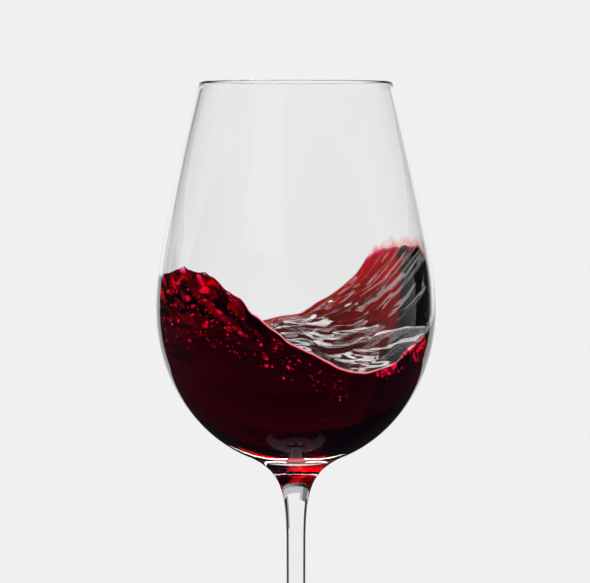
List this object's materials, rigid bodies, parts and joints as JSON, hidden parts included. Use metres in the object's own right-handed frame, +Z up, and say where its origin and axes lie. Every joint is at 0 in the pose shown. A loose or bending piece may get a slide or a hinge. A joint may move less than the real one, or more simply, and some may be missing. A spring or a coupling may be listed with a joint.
{
  "type": "glass of red wine",
  "caption": "Tall stemmed glass with a tulip bowl, part filled with dark red wine that swirls up its wall in a wave.",
  "frame": {"origin": "centre of the foot's flat underside", "axes": "+Z up along the stem to the rim; -Y is the front, the side the picture shows; +X is the right of that view"},
  "size_m": [0.095, 0.095, 0.23],
  "materials": {
    "clear_glass": "clear, polished, blown glass",
    "red_wine": "liquid: deep crimson, clear in a thin layer, near black in depth"
  },
  "bodies": {
    "root": {"wine_glass": "clear_glass", "red_wine": "red_wine"}
  },
  "joints": []
}
